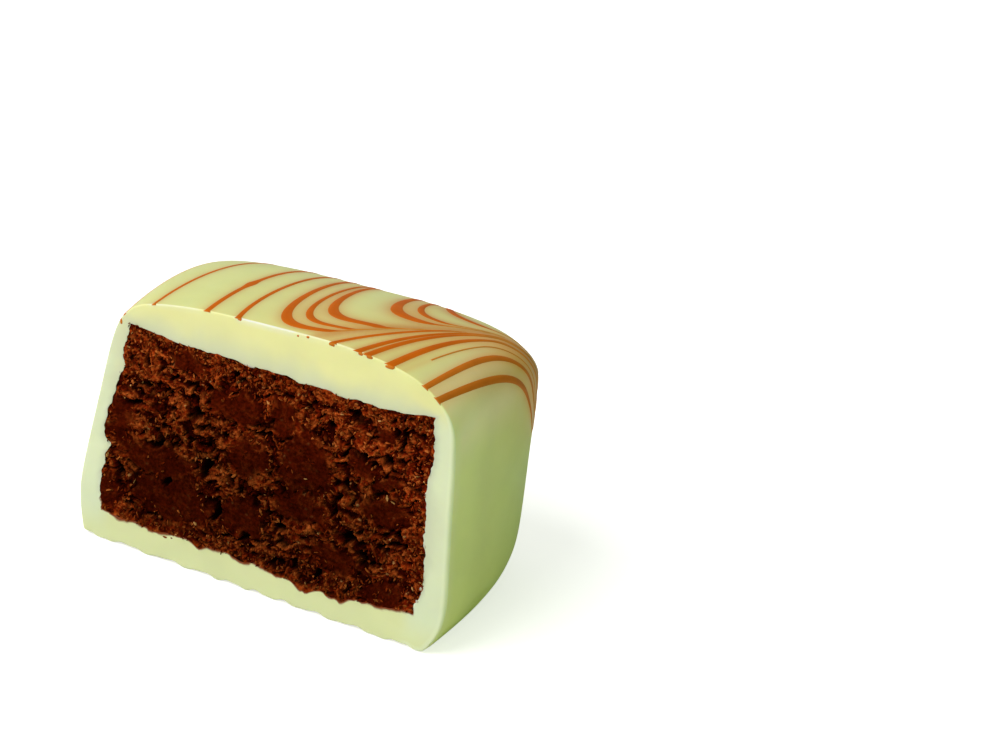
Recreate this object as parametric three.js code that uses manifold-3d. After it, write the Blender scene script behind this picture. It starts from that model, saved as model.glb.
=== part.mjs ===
// Half of a coated praline, cut to show its dark crumb filling.
// Millimetres, +Z up. The cut faces -Y and the base rests on Z = 0.
import * as THREE from "three";
import { LoftGeometry } from "three/addons/geometries/LoftGeometry.js";
import { mergeVertices } from "three/addons/utils/BufferGeometryUtils.js";
import Module from "manifold-3d";

// Coating: its outline on the cut, [x, z] from the left foot over the top to the right foot
const CUT_OUTLINE = [
  [-13.9, 0], [-14.4, 2.6], [-14.4, 5.2], [-13.6, 11.2], [-12.8, 16.4], [-11.8, 18.5],
  [-10, 19.55], [-5.8, 20.4], [0.6, 20.95], [5.4, 21.15], [9.6, 20.75], [12.2, 19.75],
  [13.8, 18], [14.25, 15], [14.6, 10], [15, 4], [14.75, 1.6], [13.9, 0],
];
const HALF_WIDTH = 14.5;
const TOP_HEIGHT = 21.15;
const CUT_EDGE_ROUND = 0.25;

// Coating behind the cut: higher squareness gives tighter corners, rise is its change up the wall
const DEPTH = 18.85;
const PLAN_SQUARENESS = { left: 5.4, right: 5.6, leftRise: 0.4, rightRise: 2.8 };
const PROFILE_SQUARENESS = { left: 3.2, right: 3.25 };
const FOOT_SQUARENESS = 40;
const WALL_MIDDLE = 9;
const LEFT_SWELL = 0.045;
const RIGHT_SWELL = 0.02;
const RIGHT_SWELL_RISE = 0.016;
const RIGHT_WAIST = 0.035;
const TOP_SWELL = 0.011;
const CROWN_DROP = 0.04;
const SWELL_PLACE = 0.45;
const FOOT_UNDERCUT = 1.3;
const FOOT_HEIGHT = 4;
const RIPPLE = { height: 0.22, length: 2.7, wander: 2, drift: 3.1, reach: 2.5 };

// Filling: a soft block in the coating, given by its edges on the cut, evenly spaced values
const FILLING_LEFT = [-12.7, -12.85, -12.4, -11.5];
const FILLING_RIGHT = [12.9, 13.5, 13, 12.5];
const FILLING_BOTTOM = [2.4, 2.3, 2.3, 2.25, 1.95, 2.45, 3];
const FILLING_TOP = [17.6, 17.3, 17.4, 17.5, 17.4, 17.45, 18.3];
const FILLING_DEPTH = 16.4;
const FILLING_PLAN_SQUARENESS = 5.2;
const FILLING_PROFILE_SQUARENESS = 4;
const GAP = 0.3;
const POCKET_MOUTH = -1;

// Crags of the cut crumb: pits of two sizes, none standing proud of the cut
const PIT = { width: 2.3, height: 1.6, depth: 1, from: 0.58, to: 0.88 };
const GRAIN = { width: 0.95, height: 0.85, depth: 0.45 };

// Drizzle: thin lines poured front to back, then drawn out along one stroke that runs down the right wall.
// Places are measured over the surface, across from the crown and back from the cut.
const LINES_BEHIND_STROKE = [
  { place: -12.7, lean: 0.1, width: 0.3, end: 17 },
  { place: -9.8, lean: 0.1, width: 0.36, end: 20 },
  { place: -5.75, lean: 0.06, width: 0.52, end: 18 },
  { place: -3.6, lean: 0.045, width: 0.42, end: 21 },
  { place: -1.4, lean: -0.005, width: 0.85, end: 19 },
  { place: -0.4, lean: 0.03, width: 0.55, end: 16 },
  { place: 0.8, lean: -0.02, width: 0.85, end: 20 },
  { place: 3.25, lean: 0.045, width: 1, end: 18 },
  { place: 4.1, lean: 0.07, width: 0.6, end: 21 },
  { place: 7.5, lean: -0.1, width: 0.5, end: 17 },
];
const LINES_BEFORE_STROKE = [
  { place: 3.6, lean: 0.2, width: 0.5 },
  { place: 6.15, lean: 0.25, width: 0.5 },
  { place: 6.95, lean: 0.21, width: 0.6 },
  { place: 8.8, lean: 0.14, width: 0.9 },
  { place: 11.7, lean: 0.05, width: 0.5 },
  { place: 12.45, lean: 0.065, width: 0.4 },
];
const LINE_START = -8;
const STROKE_ANGLE = THREE.MathUtils.degToRad(54.4);
const STROKE_OFFSET = -1.94;
const STROKE_DRAG = 7.97;
const STROKE_FADE = { back: 2.37, front: 1.1 };
const STROKE_SHARPNESS = { back: 1.25, front: 1.12 };
const SHOULDER_PLACE = 11.45;
const SHOULDER_STRETCH = 0.533;
const WALL_END = 20;
const RIDGE_RISE = 0.16;
const RIDGE_SINK = 0.25;
const RIDGE_LEAST_WIDTH = 0.24;
const RIDGE_TOP_SHARE = 0.6;
const LEAST_TAPER = 0.3;
const TAPER_RATE = 5;

// Facets
const OUTLINE_STEPS = 60;
const BASE_STEPS = 10;
const BODY_RINGS = 15;
const BACK_CROWDING = 3;
const FILLING_STEPS = { across: 34, up: 20, back: 5, rise: 5 };
const FILLING_CROWDING = 0.7;
const END_FACE_SCALES = [0, 0.35, 0.7];
const LINE_STEPS = 12;
const WALL_SEARCH_STEP = 0.05;
const TABLE_STEPS = 400;
const MERGE_DISTANCE = 1e-4;
const NUDGE = 0.01;

const CROWN_SEARCH_STEPS = 40;
const NOISE_MIX = { x: 127.1, z: 311.7, scale: 43758.5453 };

const COATING_LOOK = { color: 0xe8e6b4, roughness: 0.35, metalness: 0 };
const FILLING_LOOK = { color: 0x4e2610, roughness: 0.6, metalness: 0 };

const wasm = await Module();
wasm.setup();

const { clamp, lerp, smoothstep } = THREE.MathUtils;
const toVector2 = ([x, z]) => new THREE.Vector2(x, z);
const outline = new THREE.SplineCurve(CUT_OUTLINE.map(toVector2));
outline.arcLengthDivisions = TABLE_STEPS;
const outlineLength = outline.getLength();

// A superellipse's other half axis, from 1 at the cut down to 0 at the back wall
function squareRound(depth, squareness) {
  return (1 - clamp(depth, 0, 1) ** squareness) ** (1 / squareness);
}

// Swells from nothing at the cut to its most at SWELL_PLACE
function swell(depth) {
  return 1 - (1 - depth / SWELL_PLACE) ** 2;
}

// How far the back wall is drawn in towards its foot
function footUndercut(z) {
  return FOOT_UNDERCUT * clamp(1 - z / FOOT_HEIGHT, 0, 1) ** 2;
}

// The coating's surface: arc runs along the outline from the left foot, depth from 0 at the cut to 1.
// In front of the cut the surface goes straight on, so that what lies on it can be trimmed flush.
function bodyPoint(arc, depth) {
  const cut = outline.getPointAt(clamp(arc / outlineLength, 0, 1));
  if (depth <= 0) return new THREE.Vector3(cut.x, depth * DEPTH, cut.y);
  const across = clamp(cut.x / HALF_WIDTH, -1, 1);
  const rightness = 0.5 + 0.5 * Math.sin((across * Math.PI) / 2);
  const level = cut.y / TOP_HEIGHT - 0.5;
  const planSquareness = lerp(
    PLAN_SQUARENESS.left + PLAN_SQUARENESS.leftRise * level,
    PLAN_SQUARENESS.right + PLAN_SQUARENESS.rightRise * level,
    rightness,
  );
  const topSquareness = lerp(PROFILE_SQUARENESS.left, PROFILE_SQUARENESS.right, rightness);
  const profileSquareness = lerp(FOOT_SQUARENESS, topSquareness, clamp(cut.y / WALL_MIDDLE, 0, 1));
  const waist = RIGHT_WAIST * (1 - (2 * level) ** 2);
  const sideSwell = lerp(LEFT_SWELL, RIGHT_SWELL + RIGHT_SWELL_RISE * level - waist, rightness);
  const topSwell = TOP_SWELL - CROWN_DROP * (1 - across ** 2) * depth;
  const x = cut.x * squareRound(depth, planSquareness) * (1 + sideSwell * swell(depth));
  const swept = WALL_MIDDLE + (cut.y - WALL_MIDDLE) * squareRound(depth, profileSquareness);
  const z = Math.max(swept + cut.y * topSwell * swell(depth), 0);
  return new THREE.Vector3(x, depth * (DEPTH - footUndercut(z)), z);
}

// Height of the base over the floor: a rippled lip at the cut, flat behind it
function baseHeight(x, y) {
  const wander = RIPPLE.wander * Math.sin(x / RIPPLE.drift);
  const wave = Math.sin((x / RIPPLE.length) * 2 * Math.PI + wander);
  return RIPPLE.height * (0.5 + 0.5 * wave) * clamp(1 - y / RIPPLE.reach, 0, 1) ** 2;
}

// One ring of the body: over the top from the left foot, then back along the base
function bodyRing(depth, shrink) {
  const ring = [];
  for (let i = 0; i <= OUTLINE_STEPS; i++) {
    ring.push(bodyPoint((i / OUTLINE_STEPS) * outlineLength, depth));
  }
  const rightFoot = ring[OUTLINE_STEPS];
  const leftFoot = ring[0];
  for (let i = 1; i < BASE_STEPS; i++) {
    ring.push(rightFoot.clone().lerp(leftFoot, i / BASE_STEPS));
  }
  const middle = TOP_HEIGHT / 2;
  for (const point of ring) {
    point.x *= 1 - shrink;
    point.z = middle + (point.z - middle) * (1 - shrink);
  }
  for (let i = OUTLINE_STEPS; i <= OUTLINE_STEPS + BASE_STEPS; i++) {
    const point = ring[i % ring.length];
    point.z += baseHeight(point.x, point.y);
  }
  return ring;
}

// The back wall's middle: the last ring, shrunk towards a point
function backRing(lastRing, scale) {
  return lastRing.map((point) => {
    const z = WALL_MIDDLE + (point.z - WALL_MIDDLE) * scale;
    return new THREE.Vector3(point.x * scale, DEPTH - footUndercut(z), z);
  });
}

function bodyGeometry() {
  const roundDepth = CUT_EDGE_ROUND / DEPTH;
  const rings = [bodyRing(0, CUT_EDGE_ROUND / HALF_WIDTH), bodyRing(roundDepth, 0)];
  for (let i = 1; i < BODY_RINGS; i++) {
    rings.push(bodyRing(1 - (1 - i / BODY_RINGS) ** BACK_CROWDING, 0));
  }
  const lastRing = rings.at(-1);
  rings.push(...END_FACE_SCALES.toReversed().map((scale) => backRing(lastRing, scale)));
  return new LoftGeometry(rings, { capStart: true });
}

// Repeatable noise: a smooth field of values from 0 to 1 over a unit grid
function latticeValue(i, j) {
  const mixed = Math.sin(i * NOISE_MIX.x + j * NOISE_MIX.z) * NOISE_MIX.scale;
  return mixed - Math.floor(mixed);
}

function noise(x, z) {
  const i = Math.floor(x);
  const j = Math.floor(z);
  const u = smoothstep(x - i, 0, 1);
  const v = smoothstep(z - j, 0, 1);
  const low = lerp(latticeValue(i, j), latticeValue(i + 1, j), u);
  const high = lerp(latticeValue(i, j + 1), latticeValue(i + 1, j + 1), u);
  return lerp(low, high, v);
}

// How far the crumb lies behind the cut
function cragDepth(x, z) {
  const pit = smoothstep(noise(x / PIT.width, z / PIT.height), PIT.from, PIT.to) * PIT.depth;
  return pit + noise(x / GRAIN.width, z / GRAIN.height) * GRAIN.depth;
}

const edgeCurve = (values) => new THREE.SplineCurve(values.map((value, i) => new THREE.Vector2(i, value)));
const fillingLeft = edgeCurve(FILLING_LEFT);
const fillingRight = edgeCurve(FILLING_RIGHT);
const fillingBottom = edgeCurve(FILLING_BOTTOM);
const fillingTop = edgeCurve(FILLING_TOP);

// A point of the filling block: across and up run from 0 to 1 on the cut, y goes back from it
function fillingPoint(across, up, y, grow) {
  const depth = y / DEPTH;
  const low = fillingBottom.getPoint(across).y - grow;
  const high = fillingTop.getPoint(across).y + grow;
  const left = fillingLeft.getPoint(up).y - grow;
  const right = fillingRight.getPoint(up).y + grow;
  const x = lerp(left, right, across) * squareRound(depth, FILLING_PLAN_SQUARENESS);
  const z = low + (high - low) * up * squareRound(depth, FILLING_PROFILE_SQUARENESS);
  return new THREE.Vector3(x, y, z);
}

// The ring of places [up, y] round one slice: along the base, up the rear, over the top and down the front
function slicePlaces(rear) {
  const { up, back, rise } = FILLING_STEPS;
  const reach = (share) => share ** FILLING_CROWDING * rear;
  const places = [];
  for (let k = 1; k <= back; k++) places.push([0, reach(k / back)]);
  for (let k = 1; k <= rise; k++) places.push([k / rise, rear]);
  for (let k = 1; k <= back; k++) places.push([1, reach(1 - k / back)]);
  for (let k = 1; k <= up; k++) places.push([1 - k / up, 0]);
  return places;
}

// The block as slices from left to right, with end faces closed by rings that shrink to a point
function fillingGeometry(grow, frontAt) {
  const rear = FILLING_DEPTH + grow;
  const places = slicePlaces(rear);
  const sliceAt = (across, scale) =>
    places.map(([up, y]) => {
      const inUp = 0.5 + (up - 0.5) * scale;
      const inY = rear / 2 + (y - rear / 2) * scale;
      const point = fillingPoint(across, inUp, inY, grow);
      if (inY === 0) point.y = frontAt(point.x, point.z);
      return point;
    });
  const slices = END_FACE_SCALES.map((scale) => sliceAt(0, scale));
  for (let i = 0; i <= FILLING_STEPS.across; i++) slices.push(sliceAt(i / FILLING_STEPS.across, 1));
  slices.push(...END_FACE_SCALES.toReversed().map((scale) => sliceAt(1, scale)));
  return new LoftGeometry(slices);
}

// Arc of the crown, where the outline passes over x = 0 between its two walls
function crownArc() {
  let low = outlineLength / 4;
  let high = outlineLength - low;
  for (let i = 0; i < CROWN_SEARCH_STEPS; i++) {
    const middle = (low + high) / 2;
    if (outline.getPointAt(middle / outlineLength).x < 0) low = middle;
    else high = middle;
  }
  return low;
}

// Distances over the crown from the cut to the back wall, one for each step of depth
const crown = crownArc();
const crownDistances = [0];
for (let i = 1; i <= TABLE_STEPS; i++) {
  const step = bodyPoint(crown, i / TABLE_STEPS).distanceTo(bodyPoint(crown, (i - 1) / TABLE_STEPS));
  crownDistances.push(crownDistances[i - 1] + step);
}

function depthAt(distance) {
  if (distance <= 0) return distance / DEPTH;
  const next = crownDistances.findIndex((value) => value >= distance);
  if (next < 0) return 1;
  const before = crownDistances[next - 1];
  return (next - 1 + (distance - before) / (crownDistances[next] - before)) / TABLE_STEPS;
}

const surfacePoint = (place) => bodyPoint(crown + place.x, depthAt(place.y));
const strokeAlong = new THREE.Vector2(Math.cos(STROKE_ANGLE), Math.sin(STROKE_ANGLE));
const strokeAside = new THREE.Vector2(-Math.sin(STROKE_ANGLE), Math.cos(STROKE_ANGLE));

// Where the stroke leaves a point of a poured line, as far back as distance.
// Past the shoulder the stroke carries it further down.
function feathered(line, distance) {
  const poured = new THREE.Vector2(line.place + line.lean * distance, distance);
  const aside = poured.dot(strokeAside) - STROKE_OFFSET;
  const side = aside > 0 ? "back" : "front";
  const reach = (Math.abs(aside) / STROKE_FADE[side]) ** STROKE_SHARPNESS[side];
  const drawn = poured.addScaledVector(strokeAlong, STROKE_DRAG * Math.exp(-reach));
  drawn.x += SHOULDER_STRETCH * Math.max(drawn.x - SHOULDER_PLACE, 0) ** 2;
  return drawn;
}

// How far back a line meets the stroke
function strokeCrossing(line) {
  const lean = strokeAside.y + line.lean * strokeAside.x;
  return (STROKE_OFFSET - line.place * strokeAside.x) / lean;
}

// How far back a line before the stroke goes until the stroke has carried it down the wall
function wallDistance(line) {
  const meets = strokeCrossing(line);
  let distance = LINE_START;
  while (distance < meets && feathered(line, distance).x < WALL_END) distance += WALL_SEARCH_STEP;
  return distance;
}

// One low ridge along a line between two distances, tapered at both ends and with more steps at the second
function ridgeGeometry(line, from, to) {
  const nudge = NUDGE * Math.sign(to - from);
  const pouredShear = Math.abs(new THREE.Vector2(line.lean, 1).normalize().cross(strokeAlong));
  const sections = [];
  for (let i = 0; i <= LINE_STEPS; i++) {
    const share = i / LINE_STEPS;
    const distance = to + (from - to) * (1 - share) ** 2;
    const centre = feathered(line, distance);
    const along = centre.clone().sub(feathered(line, distance - nudge)).normalize();
    const shear = Math.abs(along.cross(strokeAlong)) / pouredShear;
    const taper = Math.min(1, LEAST_TAPER + TAPER_RATE * Math.min(share, 1 - share));
    const half = (Math.max(line.width * shear, RIDGE_LEAST_WIDTH) / 2) * taper;
    const side = new THREE.Vector2(-along.y, along.x);
    const offset = (steps) => surfacePoint(centre.clone().addScaledVector(side, half * steps));
    const left = offset(1);
    const right = offset(-1);
    const ahead = surfacePoint(centre).sub(surfacePoint(centre.clone().addScaledVector(along, -NUDGE)));
    const outward = ahead.cross(left.clone().sub(right)).normalize();
    sections.push([
      left.addScaledVector(outward, -RIDGE_SINK),
      offset(RIDGE_TOP_SHARE).addScaledVector(outward, RIDGE_RISE * taper),
      offset(-RIDGE_TOP_SHARE).addScaledVector(outward, RIDGE_RISE * taper),
      right.addScaledVector(outward, -RIDGE_SINK),
    ]);
  }
  return new LoftGeometry(sections, { capStart: true, capEnd: true });
}

// The closed solid of a geometry, without the triangles that its merged points leave flat
function solidOf(geometry) {
  const bare = new THREE.BufferGeometry().copy(geometry);
  bare.deleteAttribute("normal");
  bare.deleteAttribute("uv");
  const merged = mergeVertices(bare, MERGE_DISTANCE);
  const corners = merged.index.array;
  const triangles = [];
  for (let i = 0; i < corners.length; i += 3) {
    const [a, b, c] = corners.slice(i, i + 3);
    if (a !== b && b !== c && c !== a) triangles.push(a, b, c);
  }
  return new wasm.Manifold(
    new wasm.Mesh({
      numProp: 3,
      vertProperties: merged.attributes.position.array,
      triVerts: new Uint32Array(triangles),
    }),
  );
}

function geometryOf(solid) {
  const mesh = solid.getMesh();
  const geometry = new THREE.BufferGeometry();
  geometry.setAttribute("position", new THREE.BufferAttribute(mesh.vertProperties, 3));
  geometry.setIndex(new THREE.BufferAttribute(mesh.triVerts, 1));
  geometry.computeVertexNormals();
  return geometry;
}

function drizzleSolids() {
  const behind = LINES_BEHIND_STROKE.map((line) =>
    ridgeGeometry(line, line.end, Math.max(strokeCrossing(line), LINE_START)),
  );
  const before = LINES_BEFORE_STROKE.map((line) => ridgeGeometry(line, LINE_START, wallDistance(line)));
  return [...behind, ...before].map(solidOf);
}

function coatingSolid() {
  const pocket = solidOf(fillingGeometry(GAP / 2, () => POCKET_MOUTH));
  const beforeCut = new THREE.BoxGeometry(4 * HALF_WIDTH, DEPTH, 4 * TOP_HEIGHT);
  beforeCut.translate(0, -DEPTH / 2, 0);
  let solid = solidOf(bodyGeometry());
  for (const ridge of drizzleSolids()) solid = solid.add(ridge);
  return solid.subtract(solidOf(beforeCut)).subtract(pocket);
}

function part(name, geometry, look) {
  const mesh = new THREE.Mesh(geometry, new THREE.MeshStandardMaterial(look));
  mesh.name = name;
  return mesh;
}

// The two pieces, moved so that the origin is under the middle of the half
const half = new THREE.Group();
half.add(part("coating", geometryOf(coatingSolid()), COATING_LOOK));
const fillingSolid = solidOf(fillingGeometry(-GAP / 2, cragDepth));
half.add(part("filling", geometryOf(fillingSolid), FILLING_LOOK));
const box = new THREE.Box3().setFromObject(half);
const middle = box.getCenter(new THREE.Vector3());
half.position.set(-middle.x, -middle.y, -box.min.z);

const praline = new THREE.Group();
praline.add(half);

export default praline;
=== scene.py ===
import math

import bpy
import numpy as np
from mathutils import Matrix, Vector
from mathutils.bvhtree import BVHTree


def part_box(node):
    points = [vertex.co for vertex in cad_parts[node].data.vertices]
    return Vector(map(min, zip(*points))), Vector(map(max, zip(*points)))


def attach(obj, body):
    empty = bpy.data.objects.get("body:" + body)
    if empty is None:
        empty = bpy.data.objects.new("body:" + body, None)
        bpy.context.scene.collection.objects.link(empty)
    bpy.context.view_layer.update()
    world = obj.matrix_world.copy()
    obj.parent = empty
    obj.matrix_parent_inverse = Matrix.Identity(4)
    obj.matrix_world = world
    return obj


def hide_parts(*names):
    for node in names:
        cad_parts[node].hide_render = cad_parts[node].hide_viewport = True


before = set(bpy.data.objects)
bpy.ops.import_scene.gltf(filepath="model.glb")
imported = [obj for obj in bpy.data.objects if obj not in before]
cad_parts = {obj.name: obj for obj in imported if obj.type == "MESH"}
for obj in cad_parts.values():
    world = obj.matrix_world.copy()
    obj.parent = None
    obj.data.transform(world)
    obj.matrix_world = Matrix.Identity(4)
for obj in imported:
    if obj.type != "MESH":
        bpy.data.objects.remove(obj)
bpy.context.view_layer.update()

MM = 0.001
rng = np.random.default_rng(7)

# Coating: outline on the cut from the left foot over the top to the right foot, [x, z]
CUT_OUTLINE = [
    (-13.9, 0), (-14.4, 2.6), (-14.4, 5.2), (-13.6, 11.2), (-12.8, 16.4), (-11.8, 18.5),
    (-10, 19.55), (-5.8, 20.4), (0.6, 20.95), (5.4, 21.15), (9.6, 20.75), (12.2, 19.75),
    (13.8, 18), (14.25, 15), (14.6, 10), (15, 4), (14.75, 1.6), (13.9, 0),
]
HALF_WIDTH = 14.5
TOP_HEIGHT = 21.15
DEPTH = 18.85
# Squareness on the left and on the right, in plan and in profile, and how it grows with height
PLAN_SQUARENESS = (5.4, 5.6)
PLAN_RISE = (0.4, 2.8)
PROFILE_SQUARENESS = (3.2, 3.25)
FOOT_SQUARENESS = 400
WALL_MIDDLE = 9
LEFT_SWELL = 0.045
RIGHT_SWELL = 0.02
RIGHT_SWELL_RISE = 0.016
RIGHT_WAIST = 0.035
TOP_SWELL = 0.011
CROWN_DROP = 0.04
SWELL_PLACE = 0.45
FOOT_UNDERCUT = 1.3
FOOT_HEIGHT = 4
EDGE_RADIUS = 0.12
RIGHT_EDGE_RADIUS = 0.3
RIGHT_FLARE = {"width": 0.3, "reach": 1.6}
RIGHT_SHOULDER = (13.8, 18)
RIM_ROWS = 6
LIP_REACH = 2.5
FOOT_ROUNDING = 4
SHOULDER_FADE = (-2, 3)
FOOT_FADE = (0.5, 5)
CUT_WAVE_DEPTH = 0.1
CUT_WAVE_HOLD = 0.9
OUTLINE_SAMPLES = 4000
SURFACE_SAMPLES = (200, 100)
# Ripples of the lip: height, length, how they wander and over what width, and how far back they go
RIPPLES = [(0.22, 2.7, 2, 3.1, 2.5), (0.1, 1.35, 1.6, 2.3, 1.2)]

# Filling: its edges on the cut, evenly spaced values
FILLING_LEFT = [-12.8, -12.85, -12.65, -12.75, -12.05, -11.8, -11.8]
FILLING_RIGHT = [13.0, 13.45, 13.05, 12.8, 12.75, 12.95, 12.6]
FILLING_BOTTOM = [2.25, 2.2, 2.3, 2.25, 1.95, 2.35, 2.8]
FILLING_TOP = [17.7, 17.35, 17.4, 17.5, 17.45, 17.5, 18.1]
FILLING_DEPTH = 16.4
FILLING_PLAN_SQUARENESS = 5.2
FILLING_PROFILE_SQUARENESS = 4
FILLING_OVERLAP = 0.3
LOWER_GROWTH = 3
MOUTH_RAGGEDNESS = 0.075
LOWER_EDGE_Z = (4, 3)
POCKET_DEPTHS = (0.08, 0.4, 1.2, 3, 6, 9, 12, 14, 15.5, 16.2)
POCKET_FLOOR_SCALES = (0.85, 0.6, 0.3)
FILLING_RINGS = (2.2, 5.0, 8.0, 11.0, 13.5, 15.3, FILLING_DEPTH)

# Smooth smears and open pores that show on the cut crumb: x, z, half width, half height
SMEARS = [
    (-6.7, 16.2, 1.5, 0.7), (-11.7, 10.1, 1.1, 1.8), (-2.7, 13.7, 2.1, 1.2), (1.2, 14.2, 1.3, 1.3),
    (3.2, 11.2, 2.2, 2.5), (7.5, 12.6, 0.9, 0.5), (8.8, 15.4, 0.7, 0.7), (9.5, 11.9, 1.1, 0.4),
    (-8.4, 7.7, 3.4, 1.3), (-12.2, 4, 0.7, 1.5), (-7, 4.9, 3.3, 2.1), (-1.4, 10, 1.3, 1.7),
    (-1.4, 5.4, 1.8, 1.6), (3.4, 7.7, 2.3, 1.1), (9.7, 9.7, 2, 1.1), (6.3, 4.6, 2.1, 1.1),
    (10.4, 3.5, 1.4, 0.9),
]
PORES = [
    (-4.7, 14.6, 0.55, 0.35), (-2.4, 15.7, 0.5, 0.3), (-6.9, 15.3, 0.3, 0.25), (-5.6, 12.4, 0.5, 0.7),
    (-8.1, 10.7, 0.3, 0.55), (-8.7, 9, 0.8, 0.3), (-9.9, 15.2, 0.25, 0.5), (-4.6, 10, 0.5, 0.3),
    (-7.8, 6.5, 0.5, 0.35), (-3.5, 5.1, 0.35, 0.8), (1.8, 5.7, 0.8, 0.45), (-10.6, 11.6, 0.9, 0.3),
    (7.1, 7, 1.1, 0.4), (11.1, 8.3, 0.35, 0.3), (8.3, 5.8, 0.6, 0.45), (3, 3.3, 0.4, 0.25),
    (6.4, 10.6, 0.35, 0.6), (5.9, 8.8, 0.25, 0.6), (7.6, 13.5, 0.9, 0.3), (9.1, 13.6, 0.6, 0.35),
    (9.6, 16, 0.3, 0.45), (10.3, 15, 0.25, 0.6), (-11.3, 5.8, 0.25, 0.6), (-4.4, 8.5, 0.3, 0.7),
    (-4.4, 11.5, 0.4, 0.3), (-2.8, 16.2, 0.4, 0.3), (8.1, 15.3, 0.5, 0.2), (4.6, 16.2, 0.9, 0.18),
]

# Drizzle: thin lines poured front to back, then drawn out along one stroke that runs down the right wall.
# Places are measured over the surface, across from the crown and back from the cut.
# Behind the stroke, each line: place, lean, width at the cut, width at the back, length of its streak
# behind, and how far aside of the stroke its drawn tail ends. Lines with no tail start at the cut.
LINES_BEHIND_STROKE = [
    (-12.7, 0.1, 0.3, 0.3, 3, None), (-9.95, 0.12, 0.36, 0.36, 6.5, None),
    (-5.75, 0.06, 0.54, 0.42, 4, None), (-3.6, 0.045, 0.44, 0.4, 9, None),
    (-1.35, -0.005, 0.7, 0.5, 7.5, -0.4), (-0.4, 0.03, 0.46, 0.36, 3.5, -0.5),
    (0.8, -0.02, 0.78, 0.5, 8.5, -0.72), (3.25, 0.045, 0.92, 0.66, 5, -0.05),
    (4.1, 0.07, 0.5, 0.4, 9.5, 0.05), (7.5, -0.1, 1.0, 0.7, 4.5, 0.55),
]
# Before the stroke, each line: place, lean, width, how far aside its tail ends, its start behind the cut
LINES_BEFORE_STROKE = [
    (3.6, 0.45, 0.9, -0.6, 0), (6.15, 0.25, 0.8, 0, 0), (6.95, 0.21, 0.8, 0, 0), (8.8, 0.14, 0.85, 0, 0),
    (9.86, 0.156, 0.2, 0, 3), (11.7, 0.05, 0.46, 0, 0), (12.45, 0.065, 0.34, 0, 0),
]
LINE_FRONT = -12
LINE_END = 16.5
WALL_END = 21
WIDTH_CHANGE = (-2, 13)
TAIL_CROWDING = 1.8
TIP_CROWDING = 1.6
STROKE_ANGLE = math.radians(54.4)
STROKE_OFFSET = -1.94
STROKE_DRAG = 7.97
# How the drag fades on either side of the stroke: reach, sharpness
FADE_BEHIND = (2.37, 1.25)
FADE_BEFORE = (1.1, 1.12)
TAIL_DRAG = 4.5
TAIL_FADE = 0.18
TAIL_SLOPE = 3
SHOULDER_PLACE = 11.45
SHOULDER_STRETCH = 0.533
LINE_RISE = 0.025
LINE_RISE_STEP = 0.02
PACKING_STEP = 0.05
LOOSEST_PACKING = 3
HALVINGS = 40
ACROSS, BACK = 0, 1

# A thick drop on one line: its line, how far back it lies, its half length and how much wider it is
DROP = {"line": 2, "distance": 6.2, "reach": 0.75, "growth": 0.85}

# Brown dots on the cut just under the ends of the lines: x, z, half width, half height
DOTS = [
    (-12.3, 17.5, 0.12, 0.22), (-2.99, 20.58, 0.18, 0.1), (1.61, 20.8, 0.1, 0.09),
    (2.38, 20.94, 0.14, 0.1), (4.25, 20.98, 0.3, 0.14), (6.51, 20.98, 0.22, 0.14), (7.2, 20.96, 0.26, 0.14),
    (8.8, 20.72, 0.38, 0.16),
]

# Crumbs stuck to the cut coat: x, z, half width, half height
STUCK_CRUMBS = [(-7.2, 1.95, 0.24, 0.1), (-6.65, 2.05, 0.12, 0.08)]

# Tongues of crumb that hang over the coat's lower edge: x, half width, drop
TONGUES = [
    (-10.8, 0.5, 0.28), (-8.4, 0.4, 0.12), (-4.4, 0.45, 0.26), (-0.9, 0.3, 0.12), (4.34, 0.75, 0.55),
    (6.23, 0.35, 0.3), (7.2, 0.3, 0.28), (10.1, 0.5, 0.16),
]
TONGUE_RAGGEDNESS = (0.7, 1.3)

# Chips of coat on the crumb: x, z, half width, half height
CHIPS = [
    (13.1, 8.26, 0.1, 0.18), (13.2, 4.96, 0.09, 0.14), (13.05, 3.9, 0.12, 0.1), (-12.05, 13.6, 0.06, 0.1),
    (-1.9, 17.36, 0.5, 0.09),
]

# Facets
OUTLINE_COLUMNS = 480
BASE_COLUMNS = 140
BODY_ROWS = 96
BACK_ROWS = 12
BACK_CROWDING = 2.2
FACE_ROWS = 14
MOUTH_CROWDING = 1.8
CRUMB_COLUMNS = 380
CRUMB_ROWS = 226
LINE_STEPS = 160
GRAIN_COUNT = 4200
PALE_GRAIN_COUNT = 40


def ramp(low, high, value):
    """From 0 at low to 1 at high, with soft ends. Low may be the larger."""
    share = np.clip((value - low) / (high - low), 0, 1)
    return share * share * (3 - 2 * share)


def lerp(low, high, share):
    return low + (high - low) * share


def steps(count):
    return np.linspace(0, 1, count + 1)


def spline(values, samples):
    """Points of the curve through evenly spaced values, at samples from 0 to 1."""
    values = np.asarray(values, float)
    padded = np.concatenate([values[:1], values, values[-1:]])
    place = np.clip(samples, 0, 1) * (len(values) - 1)
    index = np.minimum(place.astype(int), len(values) - 2)
    share = place - index
    if values.ndim == 2:
        share = share[:, None]
    before, start, end, after = (padded[index + i] for i in range(4))
    leaving = (end - before) / 2
    arriving = (after - start) / 2
    cubic = 2 * start - 2 * end + leaving + arriving
    square = -3 * start + 3 * end - 2 * leaving - arriving
    return ((cubic * share + square) * share + leaving) * share + start


HASH_STEPS = (127.1, 311.7, 74.7)
HASH_GAIN = 43758.5453


def lattice(i, j, seed):
    """Repeatable values from 0 to 1 at whole places."""
    mixed = np.sin(i * HASH_STEPS[0] + j * HASH_STEPS[1] + seed * HASH_STEPS[2]) * HASH_GAIN
    return mixed - np.floor(mixed)


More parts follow.
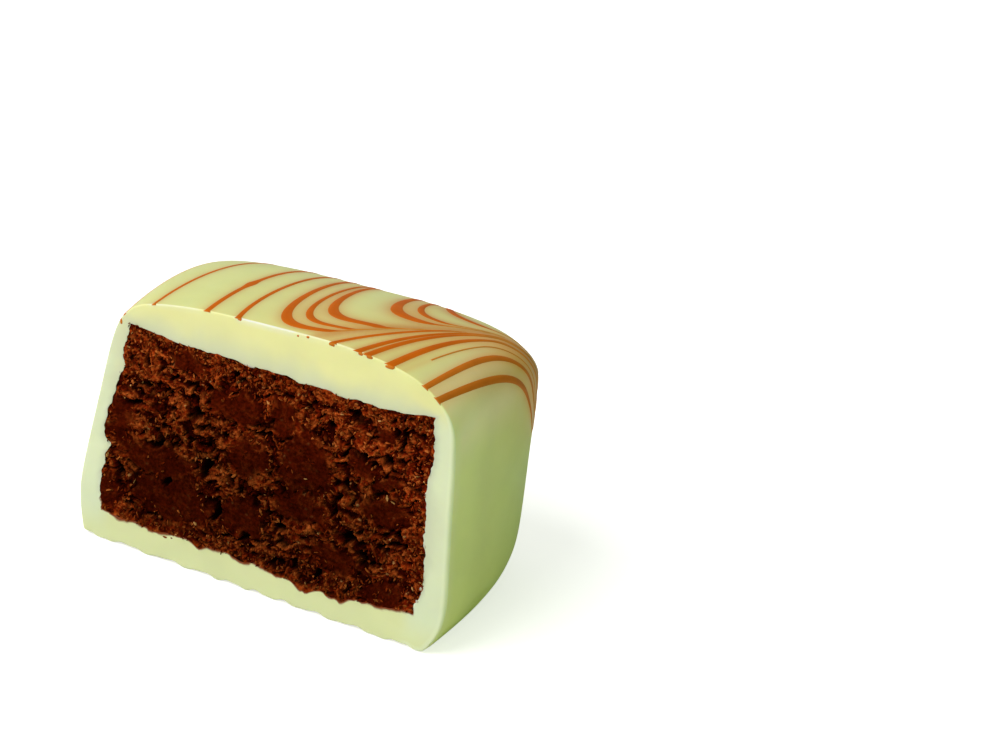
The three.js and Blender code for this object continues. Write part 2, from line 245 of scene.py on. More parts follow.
def noise(u, v, seed):
    """Smooth values from 0 to 1 over a unit grid."""
    i = np.floor(u)
    j = np.floor(v)
    a = ramp(0, 1, u - i)
    b = ramp(0, 1, v - j)
    low = lerp(lattice(i, j, seed), lattice(i + 1, j, seed), a)
    high = lerp(lattice(i, j + 1, seed), lattice(i + 1, j + 1, seed), a)
    return lerp(low, high, b)


def layered(u, v, seed, layers=4):
    """Noise of several scales, from 0 to 1."""
    total = np.zeros_like(u)
    weight = 0
    for k in range(layers):
        total = total + noise(u * 2**k, v * 2**k, seed + 10 * k) / 2**k
        weight += 1 / 2**k
    return total / weight


def ridged(u, v, seed):
    """Noise with sharp crests, from 0 to 1."""
    return 1 - np.abs(2 * noise(u, v, seed) - 1)


def grains(u, v, seed):
    """Distance to the nearest grain's middle, in grain sizes, and that grain's tone."""
    i = np.floor(u)
    j = np.floor(v)
    nearest = np.full_like(u, np.inf)
    tone = np.zeros_like(u)
    for a in (i - 1, i, i + 1):
        for b in (j - 1, j, j + 1):
            distance = np.hypot(u - a - lattice(a, b, seed), v - b - lattice(a, b, seed + 1))
            tone = np.where(distance < nearest, lattice(a, b, seed + 2), tone)
            nearest = np.minimum(nearest, distance)
    return nearest, tone


# Textures of the cut: width and height of a feature, and a seed
TEXTURES = {
    "warp_x": (1.1, 1.1, 1), "warp_z": (1.1, 1.1, 2), "specks": (0.42, 0.36, 8), "lumps": (0.66, 0.5, 11),
    "flakes": (0.36, 0.28, 12), "fine": (0.18, 0.15, 13), "pits": (0.52, 0.36, 14), "waves": (1.7, 1.1, 15),
    "grooves": (2.5, 0.16, 16), "crests": (0.62, 0.42, 17), "smear_tone": (1.5, 0.8, 18),
    "fine_crests": (0.36, 0.28, 19), "mouth": (1.1, 1.1, 21), "tongues": (0.22, 1, 22),
    "cut_wave": (2.2, 0.9, 31), "mouth_shade": (4.5, 4.5, 41), "fringe": (0.8, 1, 43),
    "edge_highlight": (2.3, 1, 44), "stuck": (0.25, 0.25, 61),
}


def texture(kind, name, x, z, *layers):
    """One of the textures, made by a kind of noise."""
    width, height, seed = TEXTURES[name]
    return kind(x / width, z / height, seed, *layers)


def unit(vectors):
    return vectors / np.linalg.norm(vectors, axis=-1, keepdims=True)


def square_round(depth, squareness):
    """A superellipse's other half axis, from 1 at the cut down to 0 at the back."""
    return (1 - np.clip(depth, 0, 1) ** squareness) ** (1 / squareness)


outline = spline(CUT_OUTLINE, np.linspace(0, 1, OUTLINE_SAMPLES))
outline_arcs = np.concatenate([[0], np.cumsum(np.hypot(*np.diff(outline, axis=0).T))])
outline_length = outline_arcs[-1]


def nearest_arc(x, z):
    return outline_arcs[np.argmin(np.hypot(outline[:, 0] - x, outline[:, 1] - z))]


def swell(depth):
    """Swells from nothing at the cut to its most at SWELL_PLACE."""
    return 1 - (1 - depth / SWELL_PLACE) ** 2


def foot_undercut(z):
    """How far the back wall is drawn in towards its foot."""
    return FOOT_UNDERCUT * np.clip(1 - z / FOOT_HEIGHT, 0, 1) ** 2


def body_points(arc, depth):
    """The coating's surface: arc runs along the outline from the left foot, depth goes back from 0 to 1."""
    cut_x = np.interp(arc, outline_arcs, outline[:, 0])
    cut_z = np.interp(arc, outline_arcs, outline[:, 1])
    depth = np.clip(depth, 0, 1)
    across = np.clip(cut_x / HALF_WIDTH, -1, 1)
    rightness = 0.5 + 0.5 * np.sin(across * np.pi / 2)
    level = cut_z / TOP_HEIGHT - 0.5
    plan = lerp(*PLAN_SQUARENESS, rightness) + lerp(*PLAN_RISE, rightness) * level
    top = lerp(*PROFILE_SQUARENESS, rightness)
    profile = lerp(FOOT_SQUARENESS, top, np.clip(cut_z / WALL_MIDDLE, 0, 1))
    waist = RIGHT_WAIST * (1 - (2 * level) ** 2)
    side_swell = lerp(LEFT_SWELL, RIGHT_SWELL + RIGHT_SWELL_RISE * level - waist, rightness)
    top_swell = TOP_SWELL - CROWN_DROP * (1 - across**2) * depth
    x = cut_x * square_round(depth, plan) * (1 + side_swell * swell(depth))
    swept = WALL_MIDDLE + (cut_z - WALL_MIDDLE) * square_round(depth, profile)
    z = np.maximum(swept + cut_z * top_swell * swell(depth), 0)
    return np.stack([x, depth * (DEPTH - foot_undercut(z)), z], -1)


def ripples(x, y):
    """Height of the rippled lip at the cut, which fades behind it."""
    total = np.zeros_like(x)
    for height, length, wander, drift, reach in RIPPLES:
        crest = 0.5 + 0.5 * np.sin(x / length * 2 * np.pi + wander * np.sin(x / drift))
        total += height * crest * np.clip(1 - y / reach, 0, 1) ** 2
    return total


def filling_points(across, up, y, grow=0):
    """A point of the filling block: across and up run from 0 to 1 on the cut, y goes back from it."""
    y = np.full_like(across, y)
    depth = y / DEPTH
    low = spline(FILLING_BOTTOM, across) - LOWER_GROWTH * grow
    high = spline(FILLING_TOP, across) + grow
    left = spline(FILLING_LEFT, up) - grow
    right = spline(FILLING_RIGHT, up) + grow
    x = lerp(left, right, across) * square_round(depth, FILLING_PLAN_SQUARENESS)
    z = low + (high - low) * up * square_round(depth, FILLING_PROFILE_SQUARENESS)
    return np.stack([x, y, z], -1)


# The frame's place of the cut: its plane is the coating's lowest y, and the walls give its middle
sample_arcs = np.linspace(0, outline_length, SURFACE_SAMPLES[0])
surface_grid = body_points(*np.meshgrid(sample_arcs, np.linspace(0, 1, SURFACE_SAMPLES[1])))
coating_low, coating_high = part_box("coating")
walls_middle = (surface_grid[..., 0].min() + surface_grid[..., 0].max()) / 2
CUT_PLACE = np.array([(coating_low.x + coating_high.x) / 2 - walls_middle * MM, coating_low.y, 0])


def add_object(name, data):
    made = bpy.data.objects.new(name, data)
    bpy.context.scene.collection.objects.link(made)
    return made


def make_object(name, points, faces, material, smooth=True, **attributes):
    """A mesh object of points in millimetres, with a value or colour on each point for each attribute."""
    mesh = bpy.data.meshes.new(name)
    mesh.from_pydata((points * MM + CUT_PLACE).tolist(), [], faces)
    for key, values in attributes.items():
        if values.ndim == 2:
            solid = np.concatenate([values, np.ones((len(values), 1))], axis=1)
            mesh.color_attributes.new(key, "FLOAT_COLOR", "POINT").data.foreach_set("color", solid.ravel())
        else:
            mesh.attributes.new(key, "FLOAT", "POINT").data.foreach_set("value", values)
    mesh.materials.append(material)
    if smooth:
        mesh.shade_smooth()
    return add_object(name, mesh)


def loop_faces(rows, columns):
    """Faces of a grid whose rows are closed loops, given row by row."""
    index = np.arange(rows * columns).reshape(rows, columns)
    nexts = np.roll(index, -1, axis=1)
    return np.stack([index[:-1], nexts[:-1], nexts[1:], index[1:]], -1).reshape(-1, 4).tolist()


def pole_faces(pole, start, columns, outward):
    """A fan of triangles from a pole to the loop that begins at start."""
    pairs = [(start + c, start + (c + 1) % columns) for c in range(columns)]
    return [(pole, *(pair if outward else pair[::-1])) for pair in pairs]


STROKE_ALONG = np.array([math.cos(STROKE_ANGLE), math.sin(STROKE_ANGLE)])
STROKE_ASIDE = np.array([-math.sin(STROKE_ANGLE), math.cos(STROKE_ANGLE)])
over_top = slice(OUTLINE_SAMPLES // 4, OUTLINE_SAMPLES * 3 // 4)
crown_arc = np.interp(0, outline[over_top, 0], outline_arcs[over_top])
depth_table = np.linspace(0, 1, OUTLINE_SAMPLES // 2)
crown_line = body_points(np.full_like(depth_table, crown_arc), depth_table)
crown_steps = np.linalg.norm(np.diff(crown_line, axis=0), axis=1)
crown_distances = np.concatenate([[0], np.cumsum(crown_steps)])


class Line:
    """A poured line and what the stroke does to it."""

    def __init__(self, place, lean, width, tail, behind):
        self.place, self.lean, self.width = place, lean, width
        self.tail, self.behind = tail, behind
        self.meets = 0 if tail is None else tail

    def drag(self, aside):
        """How far the stroke carries what lies aside of it. A line behind it has a thin drawn tail."""
        reach, sharpness = FADE_BEHIND if self.behind else FADE_BEFORE
        gap = aside if self.behind else self.meets - aside
        carried = STROKE_DRAG * np.exp(-((np.maximum(gap, 0) / reach) ** sharpness))
        if not self.behind or self.tail is None:
            return carried
        past = TAIL_SLOPE * np.maximum(-aside, 0)
        return carried + past + TAIL_DRAG * np.exp(-np.maximum(aside - self.tail, 0) / TAIL_FADE)

    def feathered(self, offset, distance):
        """Where the stroke leaves a point of the line. Past the shoulder it is carried further down."""
        poured = np.stack(np.broadcast_arrays(self.place + offset + self.lean * distance, distance), -1)
        aside = poured @ STROKE_ASIDE - STROKE_OFFSET
        drawn = poured + self.drag(aside)[..., None] * STROKE_ALONG
        drawn[..., 0] += SHOULDER_STRETCH * np.maximum(drawn[..., 0] - SHOULDER_PLACE, 0) ** 2
        return drawn

    def crossing(self, offset):
        """How far back the line meets the stroke."""
        start = (self.place + offset) * STROKE_ASIDE[0]
        return (STROKE_OFFSET + self.meets - start) / (STROKE_ASIDE[1] + self.lean * STROKE_ASIDE[0])

    def passing(self, offset, low, high, way, limit):
        """How far back, between low and high, the drawn line passes a limit across or back."""
        for _ in range(HALVINGS):
            middle = (low + high) / 2
            passed = self.feathered(offset, middle)[..., way] > limit
            high = np.where(passed, middle, high)
            low = np.where(passed, low, middle)
        return high

    def miss(self, level, back, aside):
        """How far a point of the surface lies beside the line, measured before the stroke."""
        drag = self.drag(aside)
        distance = back - drag * STROKE_ALONG[1]
        return level - drag * STROKE_ALONG[0] - self.lean * distance - self.place


behind_lines = [Line(*row[:3], row[5], True) for row in LINES_BEHIND_STROKE]
before_lines = [Line(*row[:4], False) for row in LINES_BEFORE_STROKE]


def stroke_place(across, back):
    """A point of the surface before the shoulder carried it on, and how far aside of the stroke it lies."""
    over = np.maximum(across - SHOULDER_PLACE, 0)
    undone = (np.sqrt(1 + 4 * SHOULDER_STRETCH * over) - 1) / (2 * SHOULDER_STRETCH)
    level = np.minimum(across, SHOULDER_PLACE) + undone
    return level, level * STROKE_ASIDE[0] + back * STROKE_ASIDE[1] - STROKE_OFFSET


def surface_points(across, back):
    depth = np.interp(back, crown_distances, depth_table)
    return body_points(crown_arc + across, depth)


def surface_normals(across, back, nudge=0.02):
    aside = surface_points(across + nudge, back) - surface_points(across - nudge, back)
    behind = np.maximum(back, nudge)
    ahead = surface_points(across, behind + nudge) - surface_points(across, behind - nudge)
    return unit(np.cross(aside, ahead))


def line_coverage(across, back, blur):
    """How much of the surface round a point is drizzle, from 0 to 1."""
    level, aside = stroke_place(across, back)
    cover = np.zeros_like(across)
    for line in behind_lines + before_lines:
        on_side = aside > line.meets if line.behind else aside <= line.meets
        packing = (line.drag(aside + PACKING_STEP) - line.drag(aside - PACKING_STEP)) / (2 * PACKING_STEP)
        reach = np.hypot(line.width / 2, blur * np.maximum(1, np.abs(packing) / LOOSEST_PACKING))
        cover += on_side * line.width / 2 / reach * np.exp(-((line.miss(level, back, aside) / reach) ** 2))
    return np.clip(cover, 0, 1), aside


# Colours, linear
CREAM = (0.80, 0.83, 0.33)
# Cream of the cut face, lighter than the dome's cream: painted light on the cut
LIT_CUT_CREAM = (0.96, 0.925, 0.42)
# Darker cream at the foot of the cut: painted shade
CUT_FOOT_SHADE = (0.81, 0.85, 0.465)
# Grey of the coat round the crumb: painted shade, partly also the dark crumb seen through the thin coat
MOUTH_SHADE_AND_SHOW_THROUGH = (0.73, 0.765, 0.53)
WALL_PALE = (0.83, 0.92, 0.66)
PEACH = (0.72, 0.40, 0.105)
# Peach where the drizzle lines merge, painted brighter as light on the right shoulder
LIT_MERGED_PEACH = (0.96, 0.45, 0.12)
SPINE_PEACH = (0.60, 0.25, 0.04)
# Paler cream on the right shoulder: painted light
SHOULDER_LIGHT = (0.95, 0.85, 0.54)
# Right wall lighter near the cut as a painted highlight, and darker far back as painted shade
NEAR_CUT_HIGHLIGHT = (0.13, 0.14, 0.16)
FAR_BACK_SHADE = (0.13, 0.09, 0.18)
# Pale rounded right rim of the cut: painted highlight
RIM_HIGHLIGHT = (0.90, 0.97, 0.64)
# Yellow-white on the right wall just behind the cut's rim: painted highlight
BEHIND_RIM_HIGHLIGHT = (0.95, 0.98, 0.50)
# White line along the cut's top edge: painted highlight
EDGE_HIGHLIGHT = (0.95, 0.94, 0.80)
CHIP_WHITE = (0.62, 0.57, 0.42)
FRINGE = (0.24, 0.045, 0.004)
DRIZZLE_THICK = (0.66, 0.128, 0.001, 1)
DRIZZLE_THIN = (0.76, 0.30, 0.045, 1)
# Near black in the crumb's pores: painted shade in the holes
PORE_SHADE = (0.006, 0.0011, 0.0005)
SMEAR_BROWNS = [(0.028, 0.0020, 0.0003), (0.062, 0.0055, 0.0007)]
# Crumb browns from its low places to its high ones: the dark end is painted shade in the hollows
CRUMB_BROWNS = [
    (0.013, 0.0009, 0.0003), (0.047, 0.0031, 0.0003), (0.108, 0.0070, 0.0008), (0.22, 0.027, 0.0030),
]
GRAIN_BROWNS = [
    (0.04, 0.0032, 0.0004), (0.092, 0.0086, 0.0010), (0.165, 0.023, 0.0028), (0.30, 0.085, 0.017),
]
# Tan on the crumb's crests: painted highlight
CREST_HIGHLIGHT = (0.41, 0.100, 0.017)
# Pale tan of a few crumbs and specks: partly pale crumbs, partly painted glints
PALE_CRUMB_AND_GLINT = (0.38, 0.19, 0.06)
POCKET_BROWN = (0.10, 0.018, 0.0025)

# Tints of the coat
LINE_BLUR = 0.28
WIDE_BLUR = 0.95
LINE_TINT = 0.7
HAZE_TINT = 0.8
MOST_TINT = 0.95
TINT_END_BACK = (LINE_END + 3, LINE_END - 2)
TINT_END_ACROSS = (WALL_END + 3, WALL_END - 4)
MERGING_ACROSS = (8.5, 13)
SPINE_ASIDE = -0.3
SPINE_REACH = 0.5
SPINE_TINT = 0.6
SHOULDER_LIGHT_TINT = 0.9
BEHIND_RIM_HIGHLIGHT_TINT = 0.8
BASE_ACROSS = 99
BESIDE_X = (11.6, 13)
BESIDE_TINT = 0.8
RIM_HIGHLIGHT_TINT = 0.9
MOUTH_SHADE_TINT = 0.8
FRINGE_WIDTH = (0.04, 0.54)
HIGHLIGHT_PATCH = 0.4


def shade(colours, share):
    """A colour between evenly spaced ones."""
    places = np.linspace(0, 1, len(colours))
    return np.stack([np.interp(share, places, channel) for channel in zip(*colours)], -1)


def blend(under, over, share):
    return under + np.subtract(over, under) * share[..., None]


def right_wall(arcs):
    """From 0 to 1 on the part of the outline that runs down the right wall."""
    shoulder = nearest_arc(*RIGHT_SHOULDER)
    above_foot = ramp(outline_length - FOOT_FADE[0], outline_length - FOOT_FADE[1], arcs)
    return ramp(shoulder + SHOULDER_FADE[0], shoulder + SHOULDER_FADE[1], arcs) * above_foot


def body_row(arcs, base, depth):
    """One loop of the coat, over the top and back along the base, held behind the cut's rounded edge."""
    over_edge = lerp(EDGE_RADIUS, RIGHT_EDGE_RADIUS, right_wall(arcs))
    over = body_points(arcs, np.maximum(depth, over_edge / DEPTH))
    over[:, 0] += RIGHT_FLARE["width"] * right_wall(arcs) * np.exp(-over[:, 1] / RIGHT_FLARE["reach"])
    under = over[-1] + (over[0] - over[-1]) * base[:, None]
    under[:, 1] = max(depth, EDGE_RADIUS / DEPTH) * (DEPTH - FOOT_UNDERCUT)
    row = np.concatenate([over, under])
    row[:, 2] += ripples(row[:, 0], row[:, 1]) * np.clip(1 - row[:, 2] / LIP_REACH, 0, 1)
    for corner in (0, len(arcs) - 1):
        near = np.arange(corner - FOOT_ROUNDING, corner + FOOT_ROUNDING + 1) % len(row)
        for _ in range(FOOT_ROUNDING):
            row[near[1:-1]] = (row[near[:-2]] + 2 * row[near[1:-1]] + row[near[2:]]) / 4
    return row


def tongue_drop(x):
    """How far the crumb hangs down over the coat at its lower edge."""
    drop = np.zeros_like(x)
    ragged = lerp(*TONGUE_RAGGEDNESS, texture(noise, "tongues", x, x * 0))
    for middle, half, depth in TONGUES:
        drop += depth * np.exp(-(((x - middle) / half) ** 2)) * ragged
    return drop


def mouth_row(arcs, base):
    """The filling's edge on the cut, one point for each point of the coating's loop, with a ragged line."""
    corners = filling_points(np.array([0.0, 1.0]), np.array([1.0, 1.0]), 0)
    left, right = (nearest_arc(x, z) for x, _, z in corners)
    up = np.interp(arcs, [0, left, right, outline_length], [0, 1, 1, 0])
    across = np.interp(arcs, [0, left, right, outline_length], [0, 0, 1, 1])
    up = np.concatenate([up, np.zeros_like(base)])
    across = np.concatenate([across, 1 - base])
    row = filling_points(across, up, 0)
    rough = texture(layered, "mouth", row[:, 0], row[:, 2], 5) - 0.5
    row += (row - [0, 0, TOP_HEIGHT / 2]) * [1, 0, 1] * (MOUTH_RAGGEDNESS * rough)[:, None]
    row[:, 2] -= tongue_drop(row[:, 0]) * ramp(*LOWER_EDGE_Z, row[:, 2])
    return row, across, up


def make_coating(material):
    """The coat: dome, base, cut face with its ragged mouth and the pocket that the filling sits in."""
    arcs = np.linspace(0, outline_length, OUTLINE_COLUMNS + 1)
    base = steps(BASE_COLUMNS)[1:-1]
    columns = len(arcs) + len(base)
    depths = 1 - (1 - steps(BODY_ROWS)[:-1]) ** BACK_CROWDING
    rows = [body_row(arcs, base, depth) for depth in depths[::-1]]
    last = rows[0]
    for scale in np.linspace(1, 0, BACK_ROWS, endpoint=False)[1:]:
        z = WALL_MIDDLE + (last[:, 2] - WALL_MIDDLE) * scale
        rows.insert(0, np.stack([last[:, 0] * scale, DEPTH - foot_undercut(z), z], -1))
    outer_rows = len(rows)
    front = rows[-1]
    along = np.roll(front, -1, axis=0) - np.roll(front, 1, axis=0)
    inward = unit(np.stack([along[:, 2], np.zeros(columns), -along[:, 0]], -1))
    for turn in np.linspace(0, np.pi / 2, RIM_ROWS + 1)[1:]:
        rim = front + inward * (front[:, 1:2] * (1 - math.cos(turn)))
        rim[:, 1] = front[:, 1] * (1 - math.sin(turn))
        rows.append(rim)
    rim = rows[-1]
    mouth, across, up = mouth_row(arcs, base)
    for share in 1 - (1 - steps(FACE_ROWS)[1:]) ** MOUTH_CROWDING:
        face = lerp(rim, mouth, share)
        wave = texture(layered, "cut_wave", face[:, 0], face[:, 2]) - 0.5
        face[:, 1] = CUT_WAVE_DEPTH * wave * math.sin(math.pi * min(share, CUT_WAVE_HOLD))
        rows.append(face)
    ragged = mouth - filling_points(across, up, 0)
    for y in POCKET_DEPTHS:
        rows.append(filling_points(across, up, y) + ragged)
    floor = rows[-1]
    middle = floor.mean(axis=0)
    for scale in POCKET_FLOOR_SCALES:
        deeper = middle + (floor - middle) * scale
        deeper[:, 1] = FILLING_DEPTH
        rows.append(deeper)
    points = np.concatenate(rows + [[[0, DEPTH, WALL_MIDDLE]], [[middle[0], FILLING_DEPTH, middle[2]]]])
    faces = loop_faces(len(rows), columns)
    faces += pole_faces(len(points) - 2, 0, columns, False)
    faces += pole_faces(len(points) - 1, (len(rows) - 1) * columns, columns, True)
    colours = coating_colours(arcs, base, points, len(rows), outer_rows, columns)
    made = make_object("coating_coat", points, faces, material, shade=colours)
    outer = points[: outer_rows * columns]
    tree = BVHTree.FromPolygons([Vector(p) for p in outer], loop_faces(outer_rows, columns))
    return made, tree


def coating_colours(arcs, base, points, rows, outer_rows, columns):
    """The coat's colour on each point, from the dome over the cut to the pocket."""
    colours = np.tile(CREAM, (len(points), 1))
    grid = points[: rows * columns].reshape(rows, columns, 3)
    tone = np.tile(POCKET_BROWN, (rows, columns, 1))
    across = np.concatenate([arcs, np.full_like(base, BASE_ACROSS)]) - crown_arc
    tone[:outer_rows] = dome_colours(grid[:outer_rows], across)
    face_rows = slice(outer_rows, outer_rows + RIM_ROWS + FACE_ROWS)
    tone[face_rows] = cut_colours(grid[face_rows])
    colours[: rows * columns] = tone.reshape(-1, 3)
    return colours


def dome_colours(dome, across):
    """Cream, peach where drizzle is drawn thin, painted light on the right shoulder, a painted highlight on
    the right wall just behind the cut and painted shade far back on that wall.
    """
    across = np.broadcast_to(across, dome.shape[:2])
    depth = dome[..., 1] / (DEPTH - foot_undercut(dome[..., 2]))
    back = np.interp(depth, depth_table, crown_distances)
    cover, aside = line_coverage(across, back, LINE_BLUR)
    wide_cover, _ = line_coverage(across, back, WIDE_BLUR)
    on_top = ramp(*TINT_END_BACK, back) * ramp(*TINT_END_ACROSS, across)
    drawn = ramp(1, 4, across) * on_top
    merging = ramp(*MERGING_ACROSS, across)
    near_spine = np.abs(aside - SPINE_ASIDE)
    haze = np.exp(-near_spine / lerp(1.2, 1.75, merging)) * drawn * lerp(1, 1.5, merging)
    spine = np.exp(-((near_spine / SPINE_REACH) ** 2)) * drawn
    lines = (LINE_TINT * cover + lerp(0.9, 0.45, merging) * wide_cover) * on_top
    tint = np.clip(lines + HAZE_TINT * haze, 0, MOST_TINT)
    # Painted light on the right shoulder
    shoulder = ramp(9.5, 13.5, across) * ramp(19.5, 15.5, across) * ramp(13, 8, back)
    tone = blend(CREAM, SHOULDER_LIGHT, SHOULDER_LIGHT_TINT * shoulder)
    # Where the lines merge, the peach is painted brighter as light on the shoulder
    tone = blend(tone, blend(PEACH, LIT_MERGED_PEACH, merging), tint)
    tone = blend(tone, SPINE_PEACH, SPINE_TINT * spine)
    # On the right wall: a painted highlight near the cut and painted shade far back
    wall = ramp(11, 14, across) * ramp(9, 13.5, dome[..., 0])
    highlight_near_cut = wall * ramp(7, 2, back)
    shade_far_back = wall * ramp(7, 14, back)
    tone *= 1 + highlight_near_cut[..., None] * NEAR_CUT_HIGHLIGHT - shade_far_back[..., None] * FAR_BACK_SHADE
    # Painted highlight just behind the rim
    highlight_behind_rim = wall * ramp(14, 16, across) * ramp(1.8, 0.4, back)
    return blend(tone, BEHIND_RIM_HIGHLIGHT, BEHIND_RIM_HIGHLIGHT_TINT * highlight_behind_rim)


def cut_colours(face):
    """Paler at the walls, darker towards the foot as painted shade, grey round the crumb as painted shade
    with the dark crumb showing through, with a brown fringe below it, a painted highlight on the rounded
    right rim and a painted highlight along the upper edge.
    """
    x, z = face[..., 0], face[..., 2]
    # The cut's cream is painted light, and it darkens towards the foot as painted shade
    colour = blend(LIT_CUT_CREAM, CUT_FOOT_SHADE, ramp(7, 0.5, z))
    below_top = ramp(19.5, 17, z)
    beside = ramp(*BESIDE_X, np.abs(x)) * below_top * ramp(0, 3, z)
    colour = blend(colour, WALL_PALE, BESIDE_TINT * beside)
    # Painted highlight on the rounded right rim
    on_rim = (np.arange(len(face)) < RIM_ROWS)[:, None]
    colour = blend(colour, RIM_HIGHLIGHT, RIM_HIGHLIGHT_TINT * on_rim * ramp(*BESIDE_X, x) * below_top)
    gap = np.linalg.norm(face - face[-1:], axis=-1)
    # Grey band round the crumb: painted shade, partly also the dark crumb seen through the thin coat
    rough = texture(layered, "mouth_shade", x, z, 2)
    reach = lerp(0.35, 1.5, ramp(0.3, 0.7, rough))
    mouth_shade = np.exp(-((gap / reach) ** 2))
    colour = blend(colour, MOUTH_SHADE_AND_SHOW_THROUGH, MOUTH_SHADE_TINT * mouth_shade * ramp(3, 5, z))
    fringe_width = lerp(*FRINGE_WIDTH, texture(layered, "fringe", x, z) ** 2)
    fringe = ramp(1, 0.3, gap / fringe_width) * ramp(3.6, 3, z)
    colour = blend(colour, FRINGE, fringe)
    # Painted highlight along the cut's top edge, whole over one stretch and in patches elsewhere
    edge = ramp(0.24, 0.05, np.linalg.norm(face - face[:1], axis=-1))
    patches = HIGHLIGHT_PATCH * ramp(0.55, 0.75, texture(noise, "edge_highlight", x, z))
    highlight_share = ramp(-3.6, -3, x) * ramp(1.6, 0.8, x) + patches
    return blend(colour, EDGE_HIGHLIGHT, edge * np.clip(highlight_share, 0, 1) * ramp(17, 19, z))


# A line's section: places across from -1 to 1, heights in line rises, and how thick the line looks there
SECTION = np.array([(-1.05, -1.4), (-0.6, 0.6), (0, 1), (0.6, 0.6), (1.05, -1.4), (0.6, -5), (-0.6, -5)])
SECTION_THICKNESS = np.array([0.1, 0.9, 1, 0.9, 0.1, 0, 0])
SECTION_LEFT, SECTION_MIDDLE, SECTION_RIGHT = 0, 2, 4
DOT_THICKNESS = 0.55
STREAK_STEPS = 70
STREAK_DROP = 0.24
STREAK_BEND = 1.5
STREAK_CROWDING = 1.5
STREAK_THINNING = 0.4
LEAST_FALL = 0.01
THINNEST = 0.005
TINY = 1e-9
FULL_WIDTH = 0.5
MERGED_THICKNESS = 0.3
# Over the shoulder the lines look thinner, so lighter: painted light
LIT_DRIZZLE_ACROSS, LIT_DRIZZLE_THICKNESS = (9.5, 12.5), 0.7
BLOB_SIDES = 16
BLOB_RAGGEDNESS = 0.35
BLOB_NOISE_SIZE, BLOB_NOISE_PLACE = 1.3, 5
# A blob's rings from its middle to its edge and back behind it: share of its half width, and y
BLOB_RINGS = ((0.05, -0.025), (0.6, -0.02), (1.0, 0.01), (0.6, 0.12), (0.05, 0.12))
STUCK_SEED, CHIP_SEED = 50, 80


class Strip:
    """Sections of one drizzle line, each a closed ring of points, as they are collected."""

    def __init__(self):
        self.points = []
        self.thickness = []
        self.faces = []

    def add(self, sections, thickness):
        """One line: sections by ring points by 3."""
        start = sum(len(p) for p in self.points)
        rows, ring = sections.shape[:2]
        self.points.append(sections.reshape(-1, 3))
        self.thickness.append(thickness.reshape(-1))
        self.faces += [tuple(start + i for i in face) for face in loop_faces(rows, ring)]
        self.faces.append(tuple(start + i for i in range(ring))[::-1])
        self.faces.append(tuple(start + (rows - 1) * ring + i for i in range(ring)))


def behind_sections(line, back_width, drop, rise):
    """A line behind the stroke, from the cut or its drawn tail to where it turns down the back."""
    edges = SECTION[:, 0] * line.width / 2
    starts = line.crossing(edges)
    if line.tail is None:
        starts = line.passing(edges, starts, np.full_like(edges, LINE_END), BACK, 0)
    shares = steps(LINE_STEPS)[:, None]
    distances = starts + (LINE_END - starts) * shares**TAIL_CROWDING
    widths = lerp(line.width, back_width, ramp(*WIDTH_CHANGE, distances))
    if drop:
        from_drop = (distances - DROP["distance"]) / DROP["reach"]
        widths = widths * (1 + DROP["growth"] * np.exp(-(from_drop**2)))
    return on_surface(line.feathered(SECTION[:, 0] * widths / 2, distances), rise)


def before_sections(line, start, rise):
    """A line before the stroke, from the cut to its drawn tip or down the right wall."""
    edges = SECTION[:, 0] * line.width / 2
    meets = line.crossing(edges)
    front = np.full_like(edges, LINE_FRONT)
    starts = line.passing(edges, front, meets, BACK, start)
    ends = line.passing(edges, front, meets, ACROSS, WALL_END)
    shares = steps(LINE_STEPS)[:, None]
    distances = ends + (starts - ends) * (1 - shares) ** TIP_CROWDING
    return on_surface(line.feathered(edges, distances), rise)


def on_surface(spots, rise):
    """Sections of a line laid on the coat, and how thick it looks at each point, thinner and so lighter
    over the shoulder as painted light.
    """
    across = spots[..., 0]
    back = np.maximum(spots[..., 1], 0)
    lift = surface_normals(across, back) * (SECTION[:, 1] * rise)[:, None]
    sections = surface_points(across, back) + lift
    along = np.gradient(sections[:, SECTION_MIDDLE], axis=0)
    along /= np.linalg.norm(along, axis=1, keepdims=True) + TINY
    sideways = sections[:, SECTION_RIGHT] - sections[:, SECTION_LEFT]
    width = np.linalg.norm(np.cross(sideways, along), axis=1)
    _, aside = stroke_place(across, back)
    merged = np.exp(-((aside - SPINE_ASIDE) ** 2)) * ramp(*MERGING_ACROSS, across)
    # Lighter drizzle over the shoulder: painted light
    lit_over_shoulder = ramp(*LIT_DRIZZLE_ACROSS, across)
    fading = lerp(1, MERGED_THICKNESS, merged) * lerp(1, LIT_DRIZZLE_THICKNESS, lit_over_shoulder)
    return sections, ramp(0, FULL_WIDTH, width)[:, None] * SECTION_THICKNESS * fading


